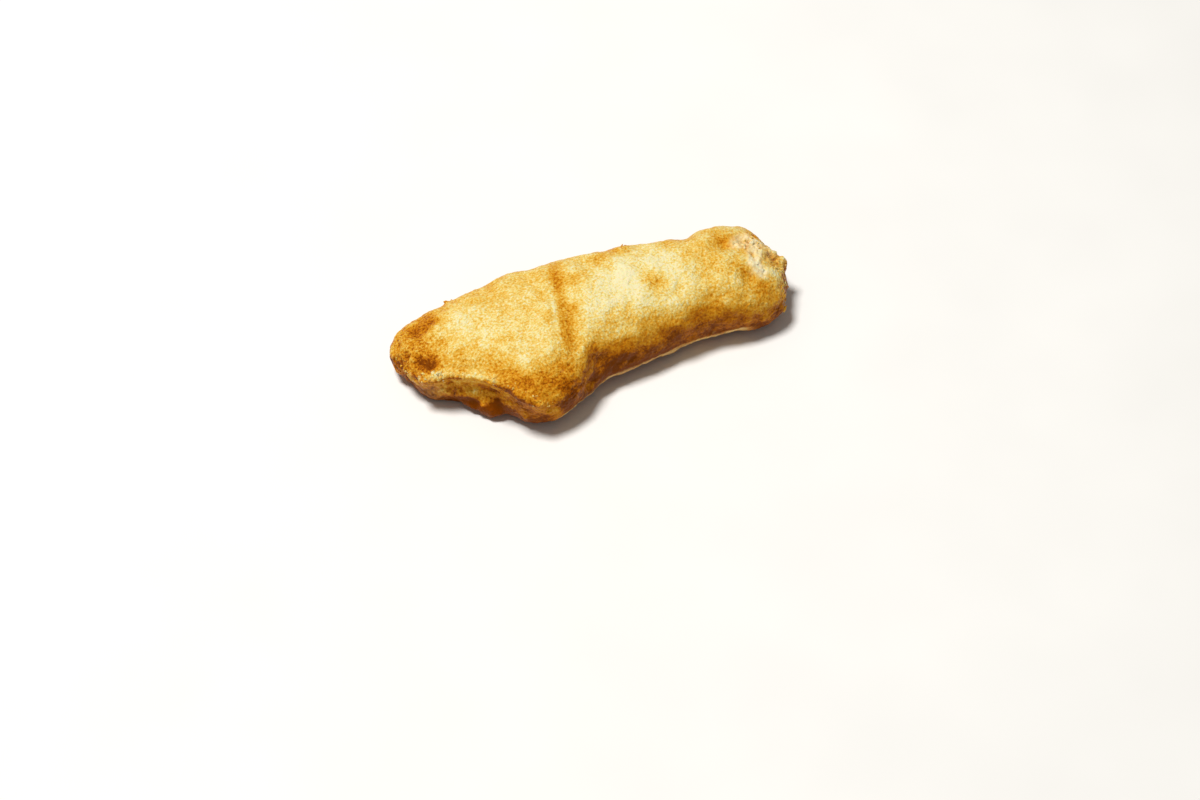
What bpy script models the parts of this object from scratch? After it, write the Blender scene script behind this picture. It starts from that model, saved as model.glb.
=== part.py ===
"""A battered, deep-fried fish fillet: one solid that lies on its flat underside.

The tapered end points along -X, the blunt, broken end along +X and the near, ragged
edge along -Y. Z is up, and the origin is under the middle of the fillet.
"""

import math
import random

import bmesh
import bpy
import numpy as np
from mathutils import Vector, noise
from mathutils.bvhtree import BVHTree
from mathutils.geometry import intersect_point_line

MM = 0.001

# Driving dimensions, in millimetres.
LENGTH = 150.0
SMOOTHING = 3.5
SMOOTHING_SPAN = 1.5
SMOOTHING_STEPS = 7

# How finely the body is made, evened out and thinned again.
RINGS = 120
RING_POINTS = 96
GRAIN = 0.9
TRIANGLES = 11000

# The plan and the height at places along the fillet: x, far edge, near edge, crown.
PLAN = (
    (-75.0, 18.5, 5.0, 15.0),
    (-70.0, 21.7, -6.0, 17.2),
    (-65.0, 23.6, -10.0, 18.9),
    (-60.0, 24.7, -10.2, 20.4),
    (-52.0, 26.6, -14.3, 22.6),
    (-44.0, 29.0, -20.0, 24.4),
    (-36.0, 30.2, -27.0, 25.4),
    (-29.0, 31.0, -31.4, 26.4),
    (-17.0, 31.5, -28.6, 27.0),
    (-4.0, 32.5, -19.9, 27.5),
    (10.0, 32.5, -16.0, 28.0),
    (24.0, 32.0, -12.5, 28.0),
    (42.0, 28.5, -9.5, 27.5),
    (54.0, 32.0, -9.5, 27.0),
    (66.0, 31.0, -7.5, 24.0),
    (75.0, 20.0, 2.0, 18.0),
)
# How high the widest line of each side stands, and how full the section of the near
# side is above and below it: x, far height, near height, fullness above, below.
RIM = (
    (-75.0, 8.0, 10.0, 2.3, 2.6),
    (-66.0, 10.0, 14.8, 1.8, 3.6),
    (-60.0, 11.3, 17.2, 1.7, 3.8),
    (-52.0, 12.3, 19.2, 1.7, 4.0),
    (-44.0, 12.9, 19.8, 1.7, 4.0),
    (-36.0, 13.5, 18.2, 1.7, 3.8),
    (-28.0, 13.9, 15.2, 1.9, 3.5),
    (-14.0, 14.0, 12.0, 2.3, 2.5),
    (-6.0, 14.0, 11.0, 2.3, 2.5),
    (75.0, 13.0, 10.0, 2.3, 2.5),
)
FAR_FULLNESS = (2.3, 2.5)
END_ROUNDING = (18.0, 22.0)
UNDER_DEPTH = 1.12

# Uneven swelling of the batter: how wide the swells are, and how far they stand out.
SWELLS = ((26.0, 1.6), (11.0, 1.0), (5.0, 0.5))
SWELL_OFFSET = Vector((7.3, 3.1, 1.7))
# The fold across the crown: its two ends, its lip, which climbs slowly from -X and drops
# steeply, and the groove beside it.
FOLD = ((-12.8, 28.0), (-18.1, -18.0))
FOLD_LIP = (0.6, 5.0, 2.2)
FOLD_GROOVE = (1.3, 2.8, 3.8)
FOLD_FULL_SHARE = 0.4
FOLD_FADE = 0.1
FOLD_STEEPEST = 0.4
# The brim of batter round the near edge: its line, the lip and the hollow below it.
BRIM = (
    (-73.5, 0.5, 11.5),
    (-70.0, -6.0, 13.4),
    (-65.0, -9.6, 15.6),
    (-60.0, -10.0, 17.4),
    (-52.0, -13.9, 19.2),
    (-44.0, -19.5, 19.8),
    (-36.0, -26.2, 18.2),
    (-31.0, -30.0, 16.6),
)
BRIM_LIP = (0.9, 1.9)
BRIM_HOLLOW = (1.2, 3.6, 7.0)
# Dents, and swells as negative depths: x, y, z, reach, depth.
DENTS = (
    (-64.5, 13.0, 18.0, 4.5, 1.4),
    (-66.5, -1.5, 15.5, 4.0, 1.6),
    (-44.0, -18.0, 11.0, 5.0, 1.2),
    (-8.9, -24.0, 10.0, 3.2, 2.2),
    (-3.0, -18.0, 18.0, 5.0, 1.7),
    (22.9, 3.5, 27.4, 2.6, 0.6),
    (51.8, 17.0, 27.0, 3.6, 1.2),
    (57.0, 1.0, 24.5, 4.4, 1.4),
    (60.5, 17.2, 25.0, 1.6, 1.8),
    (71.0, 14.0, 12.0, 6.0, 1.6),
    (-50.6, 25.0, 16.0, 2.2, -1.4),
    (17.1, 27.0, 23.0, 2.8, -1.2),
    (49.0, 28.0, 21.0, 8.0, -1.4),
    (70.5, 6.0, 17.0, 3.0, -1.6),
)
# Lumps of batter along a line on the skin: the line's points, how many lumps, how far
# they stray from it, their smallest and largest radius, and how deep they are sunk.
DEEP = 0.75
SHALLOW = 0.3
RAGGED_EDGE = (BRIM, 16, 0.9, 0.9, 2.2, DEEP)
BACK_FOOT = (
    ((-60.0, 23.0, 5.0), (-38.0, 29.0, 4.0), (-12.0, 32.0, 6.0), (20.0, 32.0, 5.0), (56.0, 33.0, 6.0)),
    11, 1.5, 1.6, 4.4, DEEP,
)
SMALL_DRIP = (((-54.0, -12.5, 3.0), (-51.0, -14.5, 3.0)), 4, 0.6, 1.6, 2.4, SHALLOW)
LARGE_DRIP = (((-47.5, -16.5, 3.0), (-43.5, -19.0, 3.5)), 4, 0.6, 2.6, 3.6, SHALLOW)
TORN_PATCH = (
    ((55.0, 15.0, 26.5), (60.0, 11.0, 25.0), (62.5, 6.0, 24.0), (64.5, 0.0, 21.0)),
    16, 2.2, 1.0, 1.9, DEEP,
)
BROKEN_END = (
    ((66.0, 19.0, 20.0), (70.0, 11.0, 18.0), (70.0, 3.0, 12.0), (66.0, -4.0, 9.0)),
    20, 4.5, 1.4, 2.8, DEEP,
)
SINK_VARIES = 0.2
LUMP_STRETCH = (0.75, 1.5)
LUMP_UNEVEN = 0.5
LUMP_DETAIL = 2
LUMP_SEED = 11

CRUST_COLOUR = (0.62, 0.33, 0.075, 1.0)
CRUST_ROUGHNESS = 0.5

UNDERSIDE_BLEND = 3.0
UNDERSIDE_SNAP = 0.35


def smooth(x, table, column):
    """A column of a table at x, with the corners between its rows eased."""
    places = [row[0] for row in table]
    values = [row[column] for row in table]
    steps = np.linspace(-SMOOTHING_SPAN, SMOOTHING_SPAN, SMOOTHING_STEPS)
    weights = np.exp(-steps**2)
    read = [np.interp(x + step * SMOOTHING, places, values) for step in steps]
    return float(np.dot(weights, read) / weights.sum())


def end_taper(x):
    """1 along the fillet, and down to 0 round its two ends."""
    share = abs(2 * x / LENGTH)
    power = END_ROUNDING[0] if x < 0 else END_ROUNDING[1]
    return math.sqrt(max(0.0, 1 - share**power))


def power_of(value, fullness):
    """A cosine or sine raised so that the section's corners fill out."""
    return math.copysign(abs(value) ** (2 / fullness), value)


def skin_point(x, turn):
    """A point of the plain body: x along it, turn round it from the far side."""
    far, near, crown = (smooth(x, PLAN, column) for column in (1, 2, 3))
    across, height = math.cos(turn), math.sin(turn)
    if across > 0:
        rim, (above, below) = smooth(x, RIM, 1), FAR_FULLNESS
    else:
        rim, above, below = (smooth(x, RIM, column) for column in (2, 3, 4))
    fullness, depth = (above, crown - rim) if height >= 0 else (below, rim * UNDER_DEPTH)
    taper = end_taper(x)
    middle, half = (far + near) / 2, (far - near) / 2
    y = middle + taper * half * power_of(across, fullness)
    z = rim + taper * depth * power_of(height, fullness)
    return Vector((x, y, max(z, 0.0)))


def clear_scene():
    """Removes whatever the scene holds."""
    for item in list(bpy.data.objects):
        bpy.data.objects.remove(item)


def new_object(name, made, collection):
    """An object in a collection from a bmesh, which is then freed."""
    mesh = bpy.data.meshes.new(name)
    made.to_mesh(mesh)
    made.free()
    item = bpy.data.objects.new(name, mesh)
    collection.objects.link(item)
    return item


def bake(item):
    """Turns an object's modifiers into its mesh."""
    graph = bpy.context.evaluated_depsgraph_get()
    mesh = bpy.data.meshes.new_from_object(item.evaluated_get(graph))
    item.modifiers.clear()
    item.data = mesh


def body_mesh():
    """The body as a sphere's rings drawn out along X and bent to each section."""
    made = bmesh.new()
    bmesh.ops.create_uvsphere(made, u_segments=RING_POINTS, v_segments=RINGS, radius=1.0)
    for vert in made.verts:
        x = LENGTH / 2 * max(-1.0, min(1.0, vert.co.z))
        turn = math.atan2(vert.co.y, vert.co.x)
        vert.co = skin_point(x, turn) * MM
    bmesh.ops.recalc_face_normals(made, faces=made.faces)
    return made


def along(points, share):
    """The place at a share of the way along a line of points."""
    place = share * (len(points) - 1)
    first = min(int(place), len(points) - 2)
    return Vector(points[first]).lerp(Vector(points[first + 1]), place - first)


def add_lumps(body, row, draw, collection):
    """Uneven lumps along one line, each half sunk in the skin nearest to its place."""
    points, count, stray, smallest, largest, sink = row
    skin = BVHTree.FromObject(body, bpy.context.evaluated_depsgraph_get())
    for number in range(count):
        aim = along(points, (number + draw.random()) / count)
        aim += Vector(draw.uniform(-stray, stray) for _ in range(3))
        place, normal, _, _ = skin.find_nearest(aim * MM)
        radius = smallest + (largest - smallest) * draw.random() ** 2
        place = place / MM - normal * radius * (sink + draw.uniform(-SINK_VARIES, SINK_VARIES))
        stretch = Vector(draw.uniform(*LUMP_STRETCH) for _ in range(3))
        made = bmesh.new()
        bmesh.ops.create_icosphere(made, subdivisions=LUMP_DETAIL, radius=1.0)
        for vert in made.verts:
            swell = 1 + LUMP_UNEVEN * noise.noise(vert.co + place)
            vert.co = (place + vert.co * stretch * radius * swell) * MM
            vert.co.z = max(vert.co.z, 0.0)
        new_object("lump", made, collection)


def join_lumps(body):
    """Joins all lumps to the body by one union."""
    lumps = bpy.data.collections.new("lumps")
    draw = random.Random(LUMP_SEED)
    for row in (RAGGED_EDGE, BACK_FOOT, SMALL_DRIP, LARGE_DRIP, TORN_PATCH, BROKEN_END):
        add_lumps(body, row, draw, lumps)
    union = body.modifiers.new("union", "BOOLEAN")
    union.operation = "UNION"
    union.operand_type = "COLLECTION"
    union.collection = lumps
    bake(body)
    for lump in list(lumps.objects):
        bpy.data.objects.remove(lump)
    bpy.data.collections.remove(lumps)


def bell(distance, reach):
    """1 at no distance, falling off smoothly to nothing past about twice the reach."""
    return math.exp(-((distance / reach) ** 2))


def fold_relief(place, facing_up):
    """The height of the crown's fold at a place: a lip with a groove on its +X side."""
    (far_x, far_y), (near_x, near_y) = FOLD
    share = (place.y - near_y) / (far_y - near_y)
    beside = place.x - (near_x + (far_x - near_x) * share)
    lip, climb, drop = FOLD_LIP
    groove, groove_reach, groove_place = FOLD_GROOVE
    height = lip * bell(beside, climb if beside < 0 else drop)
    height -= groove * bell(beside - groove_place, groove_reach)
    fade = bell(max(0.0, abs(share - 0.5) - FOLD_FULL_SHARE), FOLD_FADE)
    return height * fade * max(0.0, min(1.0, facing_up / FOLD_STEEPEST))


def distance_to_line(place, points):
    """The distance from a place to the nearest stretch of a line of points."""
    nearest = math.inf
    for start, end in zip(points, points[1:]):
        share = intersect_point_line(place, start, end)[1]
        closest = Vector(start).lerp(Vector(end), max(0.0, min(1.0, share)))
        nearest = min(nearest, (place - closest).length)
    return nearest


def brim_relief(place):
    """The height of the brim at a place: a lip that stands out over a hollow."""
    lip, lip_reach = BRIM_LIP
    hollow, hollow_reach, hollow_drop = BRIM_HOLLOW
    height = lip * bell(distance_to_line(place, BRIM), lip_reach)
    above = place + Vector((0.0, 0.0, hollow_drop))
    return height - hollow * bell(distance_to_line(above, BRIM), hollow_reach)


def relief(place, normal):
    """How far the crust stands out of the plain body at a place, in millimetres."""
    height = fold_relief(place, normal.z) + brim_relief(place)
    for number, (size, depth) in enumerate(SWELLS):
        height += depth * noise.noise(place / size + SWELL_OFFSET * number)
    for x, y, z, reach, depth in DENTS:
        height -= depth * bell((place - Vector((x, y, z))).length, reach)
    return height


def flatten_underside(body):
    """Sets every point close to the ground on it, which makes the flat rest face."""
    for vert in body.data.vertices:
        if vert.co.z < UNDERSIDE_SNAP * MM:
            vert.co.z = 0.0


def raise_relief(body):
    """Moves every point of the skin along its normal, but for the flat underside."""
    normals = [vert.normal.copy() for vert in body.data.vertices]
    for vert, normal in zip(body.data.vertices, normals):
        place = vert.co / MM
        blend = max(0.0, min(1.0, place.z / UNDERSIDE_BLEND))
        vert.co += normal * relief(place, normal) * blend * MM
    flatten_underside(body)


def even_out(body):
    """Gives the body an even grain, so that relief is as fine all over it."""
    remesh = body.modifiers.new("grain", "REMESH")
    remesh.mode = "VOXEL"
    remesh.voxel_size = GRAIN * MM
    bake(body)


def thin_out(body):
    """Brings the mesh down to the count of triangles it may have."""
    body.data.calc_loop_triangles()
    decimate = body.modifiers.new("thin", "DECIMATE")
    decimate.ratio = TRIANGLES / len(body.data.loop_triangles)
    decimate.use_collapse_triangulate = True
    bake(body)
    flatten_underside(body)


def centre(body):
    """Moves the mesh so that the middle of its outer box is over the origin."""
    corners = [Vector(corner) for corner in body.bound_box]
    middle = sum(corners, Vector()) / len(corners)
    middle.z = 0.0
    for vert in body.data.vertices:
        vert.co -= middle


def crust_material():
    material = bpy.data.materials.new("fried batter")
    material.use_nodes = True
    shader = material.node_tree.nodes["Principled BSDF"]
    shader.inputs["Base Color"].default_value = CRUST_COLOUR
    shader.inputs["Roughness"].default_value = CRUST_ROUGHNESS
    shader.inputs["Metallic"].default_value = 0.0
    return material


def main():
    clear_scene()
    fillet = new_object("fillet", body_mesh(), bpy.context.scene.collection)
    join_lumps(fillet)
    even_out(fillet)
    raise_relief(fillet)
    thin_out(fillet)
    centre(fillet)
    fillet.data.shade_smooth()
    fillet.data.materials.append(crust_material())


main()
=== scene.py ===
"""The looks of a battered, deep-fried fish fillet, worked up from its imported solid."""

import math
import random
from types import SimpleNamespace

import bmesh
import bpy
import numpy as np
from mathutils import Euler, Matrix, Vector, noise
from mathutils.bvhtree import BVHTree

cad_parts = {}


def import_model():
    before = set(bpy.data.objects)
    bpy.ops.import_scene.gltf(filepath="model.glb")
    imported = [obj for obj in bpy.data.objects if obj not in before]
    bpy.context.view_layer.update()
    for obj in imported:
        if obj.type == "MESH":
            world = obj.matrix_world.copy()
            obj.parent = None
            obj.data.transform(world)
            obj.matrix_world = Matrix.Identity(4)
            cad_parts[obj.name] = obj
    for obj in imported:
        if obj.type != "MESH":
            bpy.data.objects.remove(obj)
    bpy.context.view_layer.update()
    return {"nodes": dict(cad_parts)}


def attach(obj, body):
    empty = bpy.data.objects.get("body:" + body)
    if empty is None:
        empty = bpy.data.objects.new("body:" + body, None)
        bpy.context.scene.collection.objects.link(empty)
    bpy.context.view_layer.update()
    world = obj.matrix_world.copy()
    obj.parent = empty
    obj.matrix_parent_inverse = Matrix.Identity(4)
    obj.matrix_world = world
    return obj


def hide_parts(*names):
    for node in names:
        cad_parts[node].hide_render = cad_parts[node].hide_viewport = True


MM = 0.001

# The camera: how far it is turned and tilted, how far off it stands and its aim in mm.
CAMERA_TURN = math.radians(-16.0)
CAMERA_TILT = math.radians(50.0)
CAMERA_DISTANCE = 1010.0
CAMERA_AIM = Vector((-8.6, -32.0, 12.0))
LENS = 85.0
SENSOR = 36.0

# The light: a soft lamp high above, to the left of the fillet, and a pale room round it.
KEY_PLACE = Vector((-480.0, 200.0, 1800.0))
KEY_SIZE = 0.5
KEY_POWER = 34.8
KEY_COLOUR = (1.0, 0.98, 0.94)
ROOM_COLOUR = (1.0, 0.95, 0.86)
ROOM_STRENGTH = 0.2

# The floor: its side in metres, and its colours, which drift over a width in mm.
FLOOR_SIZE = 4.0
FLOOR_SQUARES = 8
FLOOR_DRIFT = 60.0
FLOOR_COLOURS = ((0.3, (0.90, 0.90, 0.895)), (0.7, (0.93, 0.93, 0.925)))
FLOOR_LOOK = {"Roughness": 0.9, "Specular IOR Level": 0.1}

# The crust's mesh in mm: its grain, how near points merge and below what height it is
# flat, and how many times it is smoothed, and how much each time.
CRUST_GRAIN = 0.475
MERGE_WITHIN = 0.001
FLAT_BELOW = 0.05
CRUST_EASING = 3
EASING_FACTOR = 0.5

# Noise is given by its size in mm and an offset, which sets it apart from other noise
# of its size. The offset moves it along each axis by these shares.
OFFSET_SHARES = (1.0, 0.7, 1.3)

# The bumps of the batter: size and height in mm, and how far apart their offsets are.
# They fade out towards the foot, below a height.
BATTER_BUMPS = ((5.5, 0.30), (2.6, 0.22), (1.25, 0.16))
BUMP_OFFSETS = 3.7
FOOT_FADE = 2.0

# Where the batter is rough rather than smooth: x, y, z, reach, how rough.
ROUGH_PLACES = (
    (-70.0, 4.0, 12.0, 12.0, 1.9),
    (-58.0, -12.0, 12.0, 9.0, 1.2),
    (-42.0, -24.0, 12.0, 9.0, 1.0),
    (72.0, 3.0, 12.0, 9.0, 1.5),
    (64.0, 8.0, 22.0, 9.0, 0.5),
    (69.0, 13.0, 19.0, 6.0, 1.2),
    (-44.5, -20.5, 4.5, 4.5, -0.7),
    (-53.0, -14.2, 4.0, 3.8, -0.7),
    (62.0, -8.0, 12.0, 6.0, 0.8),
    (-18.0, -25.0, 20.0, 9.0, 0.8),
)

# How dark the batter's tone is, from 0, pale cream, to 1, dark brown: how toasted it is
# everywhere, then painted shade on the sides, which face less far up, and near the foot,
# and how much painted light there is on top of a bump, with painted shade in its hollows.
TONE = 0.30
SIDE_PAINTED_SHADE = 0.64
SIDE_FROM = 0.92
FOOT_PAINTED_SHADE = 0.16
FOOT_RISE = 9.0
BUMP_PAINTED_SHADE = 0.35
# Soft clouds of tone: how much, and the noise's size and offset.
CLOUDS = ((0.09, 9.0, 2.0), (0.07, 4.0, 6.0))
# Places that are darker, then places that are paler, each from the tapered end to the
# blunt one: x, y, z, reach, how much more. Most are toasted and pale spots of the batter,
# but the darker ones low on the near side, from x -8 to 20, are painted shade, and the
# paler ones on the crown are partly painted light.
SPOTS = (
    (-73.2, 11.6, 14.2, 5.0, 0.14),
    (-69.5, 1.5, 15.5, 5.0, 0.24),
    (-67.2, 12.5, 16.8, 5.5, 0.40),
    (-66.8, 6.3, 18.1, 4.0, 0.28),
    (-65.6, -3.3, 17.1, 5.0, 0.42),
    (-63.5, -9.0, 12.0, 4.0, 0.10),
    (-62.2, -5.0, 18.2, 4.0, 0.36),
    (-60.6, 15.4, 18.7, 5.0, 0.36),
    (-60.2, 2.5, 20.1, 4.0, 0.18),
    (-57.8, 12.5, 21.0, 3.2, 0.22),
    (-57.0, 9.0, 21.5, 6.0, 0.09),
    (-56.5, -8.0, 19.3, 5.5, 0.16),
    (-53.0, -14.2, 4.0, 3.8, 0.85),
    (-50.0, -9.5, 20.5, 8.0, 0.06),
    (-50.0, 24.0, 16.0, 8.0, 0.12),
    (-44.5, -20.8, 4.5, 4.8, 1.00),
    (-43.1, -17.0, 21.5, 6.0, 0.14),
    (-43.0, 17.5, 22.0, 5.0, 0.07),
    (-39.5, -20.0, 21.0, 6.0, 0.20),
    (-36.1, -25.1, 21.0, 6.5, 0.28),
    (-34.0, 26.0, 18.0, 10.0, 0.12),
    (-32.3, 14.7, 23.7, 5.0, 0.10),
    (-31.0, -32.2, 14.3, 6.0, 0.12),
    (-28.8, 8.7, 25.3, 5.0, 0.13),
    (-27.5, -27.4, 21.2, 5.0, 0.10),
    (-25.3, -32.5, 15.3, 5.0, 0.08),
    (-24.5, -25.0, 22.5, 7.0, 0.16),
    (-20.5, -27.0, 19.5, 8.0, 0.26),
    (-16.7, -27.9, 18.2, 5.0, 0.14),
    (-13.6, -11.0, 25.8, 4.0, 0.05),
    (-10.7, -7.0, 25.9, 4.0, 0.22),
    (-10.1, -0.3, 27.1, 2.8, 0.26),
    (-7.5, -21.5, 8.0, 6.0, 0.14),
    (-6.5, -18.4, 20.5, 6.0, 0.08),
    (-4.1, 12.5, 27.2, 5.0, 0.24),
    (-1.0, -18.0, 14.0, 7.0, 0.22),
    (0.0, -24.0, 7.0, 12.0, 0.06),
    (4.4, -5.6, 26.1, 4.0, 0.08),
    (6.1, 22.5, 25.5, 4.0, 0.20),
    (9.2, -16.0, 7.5, 7.0, 0.12),
    (12.0, 25.0, 24.0, 4.0, 0.18),
    (17.4, 26.0, 24.4, 3.0, 0.18),
    (20.0, -17.0, 9.0, 14.0, 0.14),
    (23.0, 3.8, 26.5, 3.5, 0.29),
    (35.6, 24.0, 24.5, 6.0, 0.12),
    (36.4, -8.7, 19.0, 4.0, 0.10),
    (37.9, -5.3, 22.7, 5.0, 0.07),
    (42.3, 11.1, 27.1, 6.0, 0.10),
    (46.4, -5.7, 22.4, 5.0, 0.07),
    (52.8, 18.6, 25.4, 3.6, 0.28),
    (54.1, 3.4, 25.7, 3.0, 0.26),
    (57.2, 1.0, 23.6, 3.4, 0.34),
    (60.3, 16.0, 24.4, 4.0, 0.45),
    (60.7, -4.4, 21.0, 3.5, 0.30),
    (66.0, 22.0, 20.0, 3.0, 0.25),
    (70.5, 10.0, 19.0, 4.0, 0.25),
    (-74.7, 6.4, 9.4, 5.0, -0.10),
    (-62.0, -9.0, 8.0, 5.0, -0.08),
    (-54.3, 8.6, 21.9, 7.0, -0.11),
    (-50.0, -14.5, 13.8, 4.0, -0.10),
    (-45.0, -19.0, 12.0, 4.0, -0.10),
    (-39.2, 6.4, 24.6, 14.0, -0.10),
    (-33.1, -16.5, 25.5, 5.0, -0.10),
    (-24.3, -10.2, 27.1, 7.0, -0.12),
    (-9.4, -22.0, 15.5, 4.5, -0.16),
    (-9.2, 25.8, 22.8, 5.0, -0.06),
    (-4.9, 7.5, 27.9, 6.0, -0.10),
    (-3.5, -3.0, 27.3, 6.0, -0.13),
    (1.5, -2.9, 27.3, 6.0, -0.12),
    (7.7, 5.5, 27.2, 9.0, -0.24),
    (13.0, 14.9, 27.5, 9.0, -0.24),
    (16.0, -3.0, 27.0, 6.0, -0.14),
    (25.4, -5.1, 25.1, 5.0, -0.12),
    (27.1, 15.3, 26.8, 7.0, -0.20),
    (29.1, 1.1, 26.5, 4.0, -0.07),
    (33.0, 4.0, 27.5, 7.0, -0.18),
    (34.3, -7.1, 22.9, 4.0, -0.06),
    (51.7, -2.0, 24.6, 4.0, -0.15),
    (57.4, -9.8, 12.1, 4.0, -0.16),
    (63.0, 4.0, 23.5, 4.0, -0.14),
    (67.8, 1.9, 20.4, 2.6, -0.20),
)

# The torn patch near the blunt end, where pale flesh shows: its line, its reach and how
# sharply it ends, and its crumbs as share, size and offset, which rise above a level.
TORN_LINE = (
    (58.0, 15.5, 24.9),
    (60.8, 18.5, 23.7),
    (64.5, 16.5, 22.6),
    (62.5, 11.5, 24.4),
    (61.0, 6.0, 25.0),
    (62.6, 1.6, 23.2),
)
TORN_REACH = 3.7
TORN_POWER = 1.5
TORN_DEPTH = 0.2
TORN_CRUMBLE = 0.6
TORN_BUMPS = ((0.6, 1.7, 9.1), (1.0, 3.1, 4.3))
TORN_LEVEL = 0.2
# How pale it is, from what share of it on, and how much that varies, with its noise.
TORN_PALE = 1.5
TORN_PALE_FROM = 0.2
TORN_PALE_VARIES = 0.4
TORN_PALE_NOISE = (2.2, 1.0)
# The pits in it: x, y, z, radius; then how deep they are, and the painted shade in them.
PITS = ((62.3, 17.2, 23.5, 0.9), (65.8, 20.5, 21.3, 1.0), (61.4, 9.4, 24.9, 1.3))
PIT_DEPTH = 0.8
PIT_PAINTED_SHADE = 0.3
# Other places where it is paler and less yellow: x, y, z, reach, how pale.
PALE_PLACES = (
    (68.5, 14.0, 20.5, 6.0, 0.34),
    (61.5, 16.5, 24.0, 4.0, 0.50),
    (-64.5, -8.3, 8.0, 5.0, 0.16),
)
PALE_VARIES = 0.5
PALE_NOISE = (3.0, 8.0)

# The fold across the crown: its ends, and the strip beside it that is smoothed most.
FOLD_ENDS = ((-12.2, 28.0), (-18.4, -18.0))
FOLD_EASING = 110
FOLD_EASED = (-2.5, 5.5)
# How far from its middle it shows in full and how fast it fades beyond, as shares of its
# length, and how fast it comes in from the sides to the crown.
FOLD_SHOWN = 0.42
FOLD_FADE = 0.08
FOLD_UPWARD = 2.5
# Its groove and its crisp lip: how far beside it they are, their reach and their tone,
# painted shade in the groove and a painted highlight on the lip.
FOLD_GROOVE_PLACE = 2.6
FOLD_GROOVE_REACH = 2.8
FOLD_GROOVE_SHADE = 0.35
FOLD_LIP_PLACE = -0.3
FOLD_LIP_REACH = 1.0
FOLD_LIP_HIGHLIGHT = -0.24
# The share of the way along it where the painted highlight on its lip is strongest, and how
# far that goes, how strong that highlight is elsewhere, and how much less painted shade the
# groove has there.
FOLD_PALE = (0.4, 0.16)
FOLD_LIP_ELSEWHERE = 0.3
FOLD_GROOVE_PALER = 0.3

# The rough brim round the near edge of the tapered end: its line and reach, how high its
# crags rise above a level, and how much of it shows, which varies between limits.
BRIM_LINE = (
    (-73.5, 0.7, 11.5),
    (-70.0, -5.8, 13.4),
    (-65.0, -9.4, 15.6),
    (-60.0, -9.8, 17.4),
    (-52.0, -13.7, 19.2),
    (-44.0, -19.3, 19.8),
    (-36.0, -27.0, 18.6),
    (-30.4, -31.8, 17.0),
    (-25.0, -32.4, 15.5),
)
BRIM_REACH = 1.3
BRIM_CRAGS = 1.6
BRIM_CRAG_NOISES = ((2.0, 5.5), (1.0, 7.7))
BRIM_LEVEL = 0.15
BRIM_SHOWN = 0.75
BRIM_VARIES = 0.9
BRIM_VARIES_NOISE = (4.0, 6.6)
BRIM_LIMITS = (0.2, 1.3)
BRIM_TONE = -0.02
BRIM_PALE = 0.35
BRIM_PALE_NOISE = (2.5, 3.0)
# Painted light on the wall below the brim, lifting the shade under its overhang, as bands:
# how far below it, their reach and their tone.
WALL_PAINTED_LIGHT = ((2.0, 2.4, -0.34), (5.0, 2.6, -0.20), (10.0, 4.5, -0.06))

# A painted rim light: a light edge along the foot of the near side, where the wall turns
# under: how far down it faces there, its reach, its highest place, where it starts and
# ends, how soft its ends are, how fast it comes in as the wall turns to the near side, its
# tone, and how pale.
FOOT_EDGE_FACING = -0.42
FOOT_EDGE_REACH = 0.22
FOOT_EDGE_TOP = 7.0
FOOT_EDGE_SPAN = (-26.0, 58.0)
FOOT_EDGE_ENDS = 6.0
FOOT_EDGE_NEARWARD = 2.0
FOOT_RIM_LIGHT_TONE = -0.5
FOOT_RIM_LIGHT_PALE = 0.6

# Open bubbles in the batter, x, y, z, radius, then the height and width of their rims,
# and the depth of their hollows and the share of the radius these reach.
BUBBLES = (
    (-24.0, -30.0, 15.0, 1.5),
    (-21.0, -30.5, 13.5, 1.2),
    (-27.5, -31.5, 13.0, 1.4),
    (-18.5, -29.0, 15.5, 1.0),
)
BUBBLE_RIM = 0.45
BUBBLE_RIM_WIDTH = 0.4
BUBBLE_DEPTH = 0.6
BUBBLE_HOLLOW = 0.75

# How gritty the crust is: everywhere, how much more where it is rough and where it faces
# up, how much less in the torn patch and where it is toasted, and its upper limit.
GRIT = 0.55
GRIT_ROUGH = 0.2
GRIT_UPWARD = 0.45
GRIT_TORN = 0.75
GRIT_TOASTED = 0.8
TOASTED_FROM = 0.55
TOASTED_MOST = 0.5
GRIT_MOST = 1.5

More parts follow.
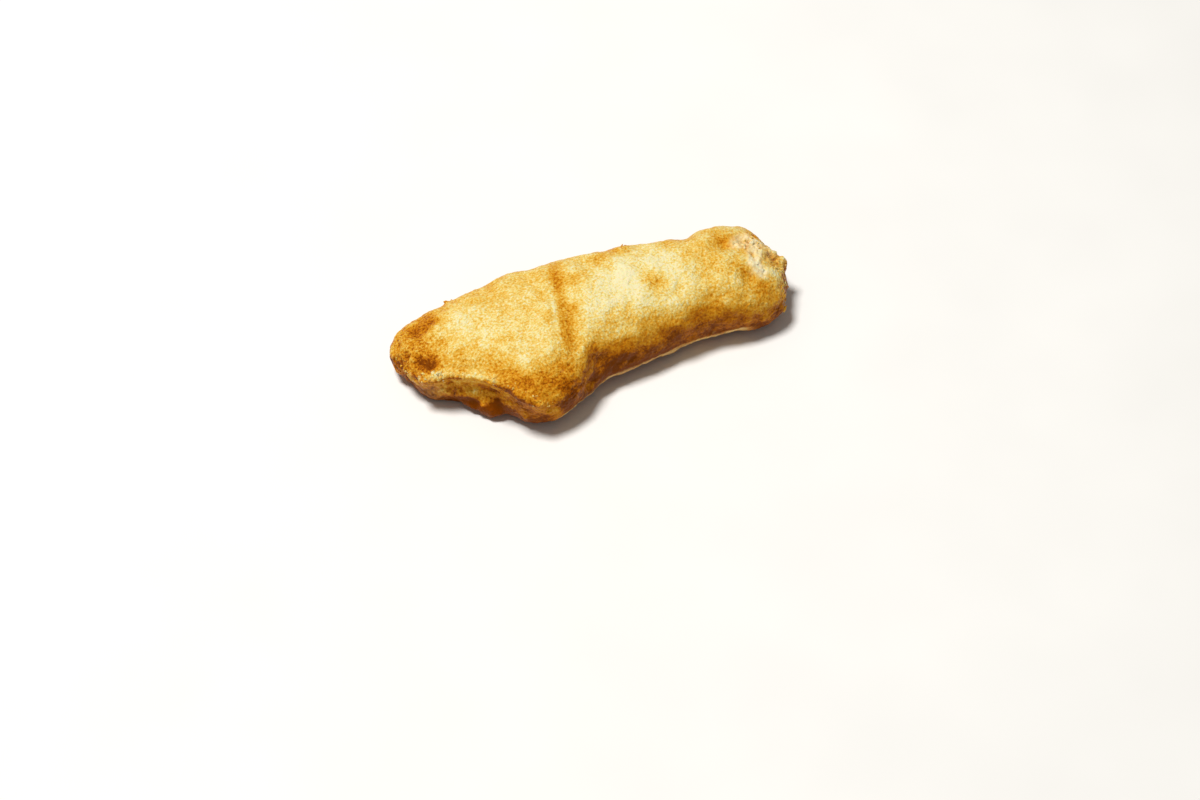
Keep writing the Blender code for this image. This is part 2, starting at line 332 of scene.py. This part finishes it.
# Bits that cling to the crust, as rows of a line, how many, how far they stray from it,
# smallest and largest radius, tone, and how pale.
CRUMB_ROWS = (
    (BRIM_LINE, 40, 0.7, 0.25, 0.8, 0.36, 0.2),
    (((-63.5, -8.0, 16.8), (-61.0, -8.8, 17.0)), 9, 0.8, 0.4, 0.9, 0.14, 0.3),
    (((-69.0, -6.5, 14.0), (-66.5, -8.0, 15.0)), 7, 0.6, 0.4, 0.8, 0.20, 0.25),
    (
        ((-74.0, 3.0, 11.0), (-72.5, 10.0, 13.0), (-66.0, 17.0, 14.5)),
        24, 2.0, 0.25, 0.7, 0.50, 0.0,
    ),
    (((57.5, 15.0, 25.0), (62.0, 17.0, 23.5)), 5, 1.6, 0.5, 1.4, 0.10, 0.9),
    (((61.0, 7.0, 24.5), (63.5, 0.0, 22.0)), 3, 1.0, 0.5, 1.0, 0.10, 1.0),
    (((-51.5, 25.5, 16.0), (-49.5, 26.0, 16.5)), 4, 0.5, 0.4, 0.9, 0.60, 0.0),
    (((16.0, 28.0, 23.5), (19.0, 28.5, 23.0)), 5, 0.6, 0.3, 0.7, 0.60, 0.0),
    (
        ((64.0, 19.0, 21.5), (69.0, 14.0, 19.0), (71.0, 8.0, 17.0), (71.0, 2.0, 14.0)),
        45, 3.5, 0.3, 1.0, 0.34, 0.2,
    ),
    (
        ((60.0, -7.0, 12.0), (72.0, -2.0, 8.0), (74.5, 6.0, 8.0)),
        30, 3.0, 0.3, 1.0, 0.60, 0.0,
    ),
)
# The larger this is, the more of them are small.
CRUMB_SMALLNESS = 2.5
# How far each stands out and its three widths, as shares of its radius, its unevenness
# as noise sizes and amounts, how far apart the noise is, how finely it is cut, and
# between what limits its tone and its paleness vary.
CRUMB_SINK = (-0.5, 0.1)
CRUMB_SHAPE = ((0.9, 1.8), (0.6, 1.1), (0.35, 0.7))
CRUMB_UNEVEN = ((1.1, 0.6), (0.45, 0.4))
CRUMB_NOISE_APART = 3
CRUMB_DETAIL = 2
CRUMB_TONE_VARIES = (-0.15, 0.2)
CRUMB_PALE_VARIES = (0.6, 1.0)
CRUMB_GRIT = 0.8
CRUMB_SEED = 5

# The colours of the crust by its tone, and of the flesh by its grain.
CRUST_COLOURS = (
    (0.00, (0.86, 0.79, 0.48)),
    (0.17, (0.84, 0.695, 0.27)),
    (0.33, (0.80, 0.54, 0.122)),
    (0.50, (0.74, 0.40, 0.042)),
    (0.67, (0.64, 0.26, 0.010)),
    (0.83, (0.47, 0.14, 0.004)),
    (1.00, (0.20, 0.045, 0.0015)),
)
FLESH_COLOURS = (
    (0.30, (0.77, 0.52, 0.20)),
    (0.48, (0.87, 0.70, 0.37)),
    (0.65, (0.92, 0.84, 0.57)),
)
# Grain in the material: its size in mm, its detail and its roughness.
FINE_GRAIN = (0.85, 2.0, 0.65)
DRIFT_GRAIN = (3.0, 3.0, 0.6)
FLESH_GRAIN = (1.4, 3.0, 0.7)
GLOSS_GRAIN = (1.6, 2.0, 0.5)
# What the grain adds to the tone, the fine grain as painted shade in the hollows of the
# fine relief and painted light on its tops, and what the tone takes from the flesh's colour.
SPECKLE_LIGHT_AND_SHADE = 1.3
DRIFT_TONE = 0.22
FLESH_BY_TONE = -0.35
FLESH_LEVEL = 0.12
# The roughness of the sheen, at its least, and how much the grain adds.
GLOSS_LEAST = 0.15
GLOSS_VARIES = 0.4
# Small beads of batter: size in mm, how they blend, and their slope and height.
BEAD_SIZE = 1.0
BEAD_BLEND = 0.4
BEAD_SLOPE = -1.6
BEAD_TOP = 1.1
# The fine relief: the share of the beads in it, its depth in mm and its strength.
BEAD_SHARE = 0.25
RELIEF_DEPTH = 1.2
RELIEF_STRENGTH = 0.48
BATTER_LOOK = {
    "Specular IOR Level": 0.08,
    "Specular Tint": (1.0, 0.64, 0.16, 1.0),
    "Subsurface Weight": 0.12,
    "Subsurface Radius": (1.0, 0.5, 0.2),
    "Subsurface Scale": 0.002,
}


def bell(distance, reach):
    """1 at no distance, falling off smoothly to nothing past about twice the reach."""
    return np.exp(-((distance / reach) ** 2))


def distance_from(places, spot):
    return np.linalg.norm(places - np.array(spot), axis=1)


def distance_from_line(places, line):
    """How far each place is from the nearest stretch of a line of points."""
    nearest = np.full(len(places), np.inf)
    for start, end in zip(np.array(line), np.array(line)[1:]):
        run = end - start
        share = np.clip((places - start) @ run / (run @ run), 0, 1)
        distance = np.linalg.norm(places - start - share[:, None] * run, axis=1)
        nearest = np.minimum(nearest, distance)
    return nearest


def bumps(places, size, offset):
    """Smooth noise of one size at each place, from -1 to 1."""
    shift = Vector([offset * share for share in OFFSET_SHARES])
    return np.array([noise.noise(Vector(place) / size + shift) for place in places])


def places_of(mesh):
    """The points of a mesh in millimetres."""
    flat = np.empty(len(mesh.vertices) * 3, np.float32)
    mesh.vertices.foreach_get("co", flat)
    return flat.reshape(-1, 3).astype(float) / MM


def normals_of(mesh):
    flat = np.empty(len(mesh.vertices) * 3, np.float32)
    mesh.vertices.foreach_get("normal", flat)
    return flat.reshape(-1, 3).astype(float)


def move_points(mesh, places):
    mesh.vertices.foreach_set("co", (places * MM).astype(np.float32).ravel())
    mesh.update()


def write_layer(mesh, name, values):
    """Keeps one number for each point of a mesh, which a material reads by its name."""
    layer = mesh.attributes.new(name, "FLOAT", "POINT")
    layer.data.foreach_set("value", np.asarray(values, np.float32))


def new_piece(name, made):
    """An object in the scene from a bmesh, which is then freed."""
    mesh = bpy.data.meshes.new(name)
    made.to_mesh(mesh)
    made.free()
    mesh.shade_smooth()
    piece = bpy.data.objects.new(name, mesh)
    bpy.context.scene.collection.objects.link(piece)
    return piece


def bake(piece):
    """Turns a piece's modifiers into its mesh."""
    graph = bpy.context.evaluated_depsgraph_get()
    mesh = bpy.data.meshes.new_from_object(piece.evaluated_get(graph))
    piece.modifiers.clear()
    piece.data = mesh


def join_flat(made):
    """Lays the underside flat and makes one face of it."""
    for vert in made.verts:
        if vert.co.z < FLAT_BELOW * MM:
            vert.co.z = 0.0
    flat = [face for face in made.faces if all(vert.co.z == 0.0 for vert in face.verts)]
    bmesh.ops.dissolve_faces(made, faces=flat, use_verts=True)


def fine_skin(node):
    """A copy of the solid's skin, merged, rounded and evened out to a fine grain."""
    made = bmesh.new()
    made.from_mesh(node.data)
    bmesh.ops.remove_doubles(made, verts=made.verts, dist=MERGE_WITHIN * MM)
    piece = new_piece("crust", made)
    round_off = piece.modifiers.new("round off", "SUBSURF")
    round_off.levels = round_off.render_levels = 1
    grain = piece.modifiers.new("grain", "REMESH")
    grain.mode = "VOXEL"
    grain.voxel_size = CRUST_GRAIN * MM
    bake(piece)
    made = bmesh.new()
    made.from_mesh(piece.data)
    beside, _ = beside_fold(places_of(piece.data))
    start, end = FOLD_EASED
    creased = [vert for vert, off in zip(made.verts, beside) if start < off < end]
    every_way = {"use_axis_x": True, "use_axis_y": True, "use_axis_z": True}
    for verts, times in ((made.verts, CRUST_EASING), (creased, FOLD_EASING)):
        for _ in range(times):
            bmesh.ops.smooth_vert(made, verts=verts, factor=EASING_FACTOR, **every_way)
    join_flat(made)
    made.to_mesh(piece.data)
    made.free()
    return piece


def beside_fold(places):
    """How far each place is to the +X side of the fold's lip, and how far along it is."""
    (far_x, far_y), (near_x, near_y) = FOLD_ENDS
    share = (places[:, 1] - near_y) / (far_y - near_y)
    return places[:, 0] - (near_x + (far_x - near_x) * share), share


def brim_at(places):
    """How much of the brim shows at each place, from 0."""
    shown = np.clip(BRIM_SHOWN + BRIM_VARIES * bumps(places, *BRIM_VARIES_NOISE), *BRIM_LIMITS)
    return bell(distance_from_line(places, BRIM_LINE), BRIM_REACH) * shown


def painted_foot_rim_light_at(places, normals):
    """1 along the painted rim light at the foot of the near side, 0 elsewhere."""
    start, end = FOOT_EDGE_SPAN
    inward = np.minimum(places[:, 0] - start, end - places[:, 0])
    turning = bell(normals[:, 2] - FOOT_EDGE_FACING, FOOT_EDGE_REACH)
    low = places[:, 2] < FOOT_EDGE_TOP
    nearward = np.clip(-FOOT_EDGE_NEARWARD * normals[:, 1], 0, 1)
    return np.clip(inward / FOOT_EDGE_ENDS, 0, 1) * (turning * low) * nearward


def features_at(places, normals):
    """How much of each feature of the batter there is at each place."""
    rough = sum(
        amount * bell(distance_from(places, spot), reach)
        for *spot, reach, amount in ROUGH_PLACES
    )
    return SimpleNamespace(
        rough=rough,
        bumps=sum(
            depth * bumps(places, size, BUMP_OFFSETS * number) * (1 + rough)
            for number, (size, depth) in enumerate(BATTER_BUMPS)
        ),
        torn=bell(distance_from_line(places, TORN_LINE), TORN_REACH) ** TORN_POWER,
        pits=sum(bell(distance_from(places, spot), radius) for *spot, radius in PITS),
        brim=brim_at(places),
        foot_rim_light=painted_foot_rim_light_at(places, normals),
    )


def height_at(places, features):
    """How high the batter stands on the skin at each place, in mm."""
    crumble = sum(share * abs(bumps(places, size, offset)) for share, size, offset in TORN_BUMPS)
    crags = sum(abs(bumps(places, size, offset)) for size, offset in BRIM_CRAG_NOISES)
    height = features.bumps + features.torn * (TORN_CRUMBLE * (crumble - TORN_LEVEL) - TORN_DEPTH)
    height -= PIT_DEPTH * features.pits
    height += features.brim * BRIM_CRAGS * (crags - BRIM_LEVEL)
    for *spot, radius in BUBBLES:
        distance = distance_from(places, spot)
        height += BUBBLE_RIM * bell(distance - radius, BUBBLE_RIM_WIDTH)
        height -= BUBBLE_DEPTH * bell(distance, BUBBLE_HOLLOW * radius)
    return height * np.clip(places[:, 2] / FOOT_FADE, 0, 1)


def fold_shade_and_highlight_at(places, normals):
    """How much painted shade the fold's groove has at each place, and painted highlight its lip.
    """
    beside, share = beside_fold(places)
    shown = bell(np.maximum(0, abs(share - 0.5) - FOLD_SHOWN), FOLD_FADE)
    shown *= np.clip(normals[:, 2] * FOLD_UPWARD, 0, 1)
    middle = bell(share - FOLD_PALE[0], FOLD_PALE[1])
    groove = FOLD_GROOVE_SHADE * (1 - FOLD_GROOVE_PALER * middle)
    lip = FOLD_LIP_HIGHLIGHT * (FOLD_LIP_ELSEWHERE + middle)
    return shown * (
        groove * bell(beside - FOLD_GROOVE_PLACE, FOLD_GROOVE_REACH)
        + lip * bell(beside - FOLD_LIP_PLACE, FOLD_LIP_REACH)
    )


def toast_and_shade_at(places, normals, features):
    """How toasted the batter is at each place, with painted shade and painted light in it."""
    # The sides get painted shade, the more the less far up they face.
    tone = TONE + SIDE_PAINTED_SHADE * np.clip(SIDE_FROM - normals[:, 2], 0, 1)
    for *spot, reach, amount in SPOTS:
        tone += amount * bell(distance_from(places, spot), reach)
    for amount, size, offset in CLOUDS:
        tone += amount * bumps(places, size, offset)
    # Painted shade in the fold's groove and a painted highlight on its lip.
    tone += fold_shade_and_highlight_at(places, normals)
    # The pits get painted shade.
    tone += features.brim * BRIM_TONE + features.pits * PIT_PAINTED_SHADE
    # Painted light in bands on the wall below the brim, lifting the shade under its overhang.
    for drop, reach, amount in WALL_PAINTED_LIGHT:
        tone += amount * bell(distance_from_line(places + (0.0, 0.0, drop), BRIM_LINE), reach)
    # Painted shade near the foot.
    tone += FOOT_PAINTED_SHADE * np.clip(1 - places[:, 2] / FOOT_RISE, 0, 1)
    # Painted light on the tops of bumps and painted shade in their hollows.
    # The painted rim light along the foot takes tone away.
    return tone - BUMP_PAINTED_SHADE * features.bumps + FOOT_RIM_LIGHT_TONE * features.foot_rim_light


def paleness_at(places, features):
    """How pale each place is, from 0, plain crust, to 1, flesh."""
    pale = features.torn * TORN_PALE - TORN_PALE_FROM
    pale += TORN_PALE_VARIES * bumps(places, *TORN_PALE_NOISE)
    # The painted rim light along the foot is pale.
    pale = np.maximum(pale, FOOT_RIM_LIGHT_PALE * features.foot_rim_light)
    pale = np.maximum(pale, BRIM_PALE * features.brim * bumps(places, *BRIM_PALE_NOISE))
    patchy = 1 + PALE_VARIES * bumps(places, *PALE_NOISE)
    for *spot, reach, amount in PALE_PLACES:
        pale = np.maximum(pale, amount * patchy * bell(distance_from(places, spot), reach))
    # The pits lose their paleness, which darkens them with painted shade.
    return np.clip(pale - features.pits, 0, 1)


def grit_at(normals, features, tone):
    """How gritty the crust is at each place."""
    grit = GRIT + GRIT_ROUGH * features.rough + GRIT_UPWARD * np.clip(normals[:, 2], 0, 1)
    grit *= 1 - GRIT_TORN * features.torn
    grit *= 1 - GRIT_TOASTED * np.clip(tone - TOASTED_FROM, 0, TOASTED_MOST)
    return np.clip(grit, 0, GRIT_MOST)


def raise_batter(piece):
    """Raises the batter on the skin, and keeps what the material reads of it."""
    mesh = piece.data
    places, normals = places_of(mesh), normals_of(mesh)
    features = features_at(places, normals)
    tone = toast_and_shade_at(places, normals, features)
    raised = places + normals * height_at(places, features)[:, None]
    raised[:, 2] = np.maximum(raised[:, 2], 0.0)
    move_points(mesh, raised)
    write_layer(mesh, "tone", tone)
    write_layer(mesh, "pale", paleness_at(places, features))
    write_layer(mesh, "grit", grit_at(normals, features, tone))


def along(line, share):
    """The place at a share of the way along a line of points."""
    place = share * (len(line) - 1)
    first = min(int(place), len(line) - 2)
    return Vector(line[first]).lerp(Vector(line[first + 1]), place - first)


def make_crumbs(crust):
    """One mesh of all the small uneven bits, each partly sunk in the crust below it."""
    skin = BVHTree.FromObject(crust, bpy.context.evaluated_depsgraph_get())
    draw = random.Random(CRUMB_SEED)
    made = bmesh.new()
    tones, pales = [], []
    for line, count, stray, smallest, largest, tone, pale in CRUMB_ROWS:
        for _ in range(count):
            aim = along(line, draw.random()) + Vector(draw.gauss(0, stray) for _ in range(3))
            place, normal, _, _ = skin.find_nearest(aim * MM)
            radius = smallest + (largest - smallest) * draw.random() ** CRUMB_SMALLNESS
            middle = place / MM + normal * radius * draw.uniform(*CRUMB_SINK)
            shape = Matrix.Diagonal([draw.uniform(*limits) * radius for limits in CRUMB_SHAPE])
            turn = Euler([draw.uniform(-math.pi, math.pi) for _ in range(3)]).to_matrix() @ shape
            apart = middle * CRUMB_NOISE_APART
            ball = bmesh.ops.create_icosphere(made, subdivisions=CRUMB_DETAIL, radius=1.0)
            crumb = ball["verts"]
            for vert in crumb:
                swell = 1 + sum(
                    much * noise.noise(vert.co / size + apart) for size, much in CRUMB_UNEVEN
                )
                vert.co = (middle + turn @ vert.co * swell) * MM
                vert.co.z = max(vert.co.z, 0.0)
            tones += [tone + draw.uniform(*CRUMB_TONE_VARIES)] * len(crumb)
            pales += [pale * draw.uniform(*CRUMB_PALE_VARIES)] * len(crumb)
    crumbs = new_piece("crumbs", made)
    write_layer(crumbs.data, "tone", tones)
    write_layer(crumbs.data, "pale", pales)
    write_layer(crumbs.data, "grit", np.full(len(tones), CRUMB_GRIT))
    return crumbs


def nodes_for(name):
    """A new node material, with its node tree and its shader."""
    material = bpy.data.materials.new(name)
    material.use_nodes = True
    tree = material.node_tree
    return material, tree, tree.nodes["Principled BSDF"]


def add_node(tree, kind, settings=(), **inputs):
    """A new node with its settings, and a value or another node's output at its inputs."""
    node = tree.nodes.new(kind)
    for name, value in dict(settings).items():
        setattr(node, name, value)
    for name, value in inputs.items():
        socket = node.inputs[name.replace("_", " ")]
        if isinstance(value, bpy.types.NodeSocket):
            tree.links.new(value, socket)
        else:
            socket.default_value = value
    return node


def grain_of(tree, place, size, detail=2.0, roughness=0.5):
    """Noise in millimetres of size, from 0 to 1, on the piece's own coordinates."""
    scale = 1 / (size * MM)
    kind = "ShaderNodeTexNoise"
    node = add_node(tree, kind, Vector=place, Scale=scale, Detail=detail, Roughness=roughness)
    return node.outputs["Fac"]


def arithmetic(tree, what, first, second, third=None):
    """The output of a math node on two or three values, each a number or an output."""
    node = tree.nodes.new("ShaderNodeMath")
    node.operation = what
    for socket, value in zip(node.inputs, (first, second, third)):
        if isinstance(value, bpy.types.NodeSocket):
            tree.links.new(value, socket)
        elif value is not None:
            socket.default_value = value
    return node.outputs[0]


def colour_steps(tree, value, steps):
    """The colour of a value, by steps as pairs of a value and its colour."""
    ramp = add_node(tree, "ShaderNodeValToRGB", Fac=value)
    elements = ramp.color_ramp.elements
    while len(elements) > 1:
        elements.remove(elements[-1])
    for number, (place, colour) in enumerate(steps):
        element = elements[0] if number == 0 else elements.new(place)
        element.position = place
        element.color = (*colour, 1.0)
    return ramp.outputs["Color"]


def mixed(tree, share, first, second):
    """Two colours mixed by a share from 0, the first, to 1, the second."""
    node = tree.nodes.new("ShaderNodeMix")
    node.data_type = "RGBA"
    # The sockets of a mix node for colours are its inputs 0, 6 and 7 and its output 2.
    for number, source in ((0, share), (6, first), (7, second)):
        tree.links.new(source, node.inputs[number])
    return node.outputs[2]


def beads_of(tree, place, size):
    """Rounded bubbles of a size in millimetres, 1 at their tops and 0 between them."""
    settings = {"feature": "SMOOTH_F1"}
    scale = 1 / (size * MM)
    kind = "ShaderNodeTexVoronoi"
    cells = add_node(tree, kind, settings, Vector=place, Scale=scale, Smoothness=BEAD_BLEND)
    return arithmetic(tree, "MULTIPLY_ADD", cells.outputs["Distance"], BEAD_SLOPE, BEAD_TOP)


def layer_of(tree, name):
    """The number that write_layer kept for each point of the piece."""
    return add_node(tree, "ShaderNodeAttribute", {"attribute_name": name}).outputs["Fac"]


def set_inputs(node, values):
    for name, value in values.items():
        node.inputs[name].default_value = value


def crust_material():
    """Golden batter: toasted, with painted shade and light, by its tone, speckled with painted
    shade and light by its bubbles, with a sheen of oil.
    """
    material, tree, shader = nodes_for("fried_batter")
    place = add_node(tree, "ShaderNodeTexCoord").outputs["Object"]
    toast_and_shade = layer_of(tree, "tone")
    grit = layer_of(tree, "grit")
    fine = grain_of(tree, place, *FINE_GRAIN)
    # Painted shade in the hollows of the fine relief and painted light on its tops, by grit.
    speckle_light_and_shade = arithmetic(tree, "SUBTRACT", 0.5, fine)
    speckle_light_and_shade = arithmetic(tree, "MULTIPLY", speckle_light_and_shade, grit)
    tone = arithmetic(tree, "MULTIPLY_ADD", speckle_light_and_shade, SPECKLE_LIGHT_AND_SHADE, toast_and_shade)
    drift = grain_of(tree, place, *DRIFT_GRAIN)
    tone = arithmetic(tree, "MULTIPLY_ADD", drift, DRIFT_TONE, tone)
    tone = arithmetic(tree, "SUBTRACT", tone, DRIFT_TONE / 2)
    crust = colour_steps(tree, tone, CRUST_COLOURS)
    flesh = grain_of(tree, place, *FLESH_GRAIN)
    flesh = arithmetic(tree, "MULTIPLY_ADD", toast_and_shade, FLESH_BY_TONE, flesh)
    flesh = arithmetic(tree, "ADD", flesh, FLESH_LEVEL)
    flesh = colour_steps(tree, flesh, FLESH_COLOURS)
    colour = mixed(tree, layer_of(tree, "pale"), crust, flesh)
    tree.links.new(colour, shader.inputs["Base Color"])

    gloss = grain_of(tree, place, *GLOSS_GRAIN)
    gloss = arithmetic(tree, "MULTIPLY_ADD", gloss, GLOSS_VARIES, GLOSS_LEAST)
    tree.links.new(gloss, shader.inputs["Roughness"])
    beads = beads_of(tree, place, BEAD_SIZE)
    bubbles = arithmetic(tree, "MULTIPLY_ADD", beads, BEAD_SHARE, fine)
    relief = add_node(tree, "ShaderNodeBump", Height=bubbles, Distance=RELIEF_DEPTH * MM)
    strength = arithmetic(tree, "MULTIPLY", grit, RELIEF_STRENGTH)
    tree.links.new(strength, relief.inputs["Strength"])
    tree.links.new(relief.outputs["Normal"], shader.inputs["Normal"])
    set_inputs(shader, BATTER_LOOK)
    return material


def floor_material():
    """A pale, matt floor whose shade drifts a little."""
    material, tree, shader = nodes_for("pale_floor")
    place = add_node(tree, "ShaderNodeTexCoord").outputs["Object"]
    shade = grain_of(tree, place, FLOOR_DRIFT)
    tree.links.new(colour_steps(tree, shade, FLOOR_COLOURS), shader.inputs["Base Color"])
    set_inputs(shader, FLOOR_LOOK)
    return material


def make_floor():
    made = bmesh.new()
    squares = {"x_segments": FLOOR_SQUARES, "y_segments": FLOOR_SQUARES}
    bmesh.ops.create_grid(made, size=FLOOR_SIZE / 2, **squares)
    floor = new_piece("floor", made)
    floor.data.materials.append(floor_material())


def make_light():
    """The soft lamp, and the pale room round it."""
    lamp = bpy.data.lights.new("key", "AREA")
    lamp.shape = "DISK"
    lamp.size = KEY_SIZE
    lamp.energy = KEY_POWER
    lamp.color = KEY_COLOUR
    key = bpy.data.objects.new("key", lamp)
    key.location = KEY_PLACE * MM
    key.rotation_euler = (-KEY_PLACE).to_track_quat("-Z", "Y").to_euler()
    bpy.context.scene.collection.objects.link(key)
    world = bpy.data.worlds.new("room")
    world.use_nodes = True
    sky = world.node_tree.nodes["Background"]
    sky.inputs["Color"].default_value = (*ROOM_COLOUR, 1.0)
    sky.inputs["Strength"].default_value = ROOM_STRENGTH
    bpy.context.scene.world = world


def make_camera():
    across = math.cos(CAMERA_TILT)
    cosine, sine = math.cos(CAMERA_TURN), math.sin(CAMERA_TURN)
    right = Vector((cosine, sine, 0.0))
    back = Vector((sine * across, -cosine * across, math.sin(CAMERA_TILT)))
    turn = Matrix((right, back.cross(right), back)).transposed()
    lens = bpy.data.cameras.new("camera")
    lens.lens = LENS
    lens.sensor_width = SENSOR
    camera = bpy.data.objects.new("camera", lens)
    stand = (CAMERA_AIM + back * CAMERA_DISTANCE) * MM
    camera.matrix_world = Matrix.Translation(stand) @ turn.to_4x4()
    bpy.context.scene.collection.objects.link(camera)
    bpy.context.scene.camera = camera


def main():
    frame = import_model()
    bpy.context.scene.view_settings.view_transform = "Standard"
    make_camera()
    make_light()
    make_floor()

    crust = fine_skin(frame["nodes"]["fillet"])
    raise_batter(crust)
    crumbs = make_crumbs(crust)
    batter = crust_material()
    for piece in (crust, crumbs):
        piece.data.materials.append(batter)
        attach(piece, "root")
    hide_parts("fillet")


main()
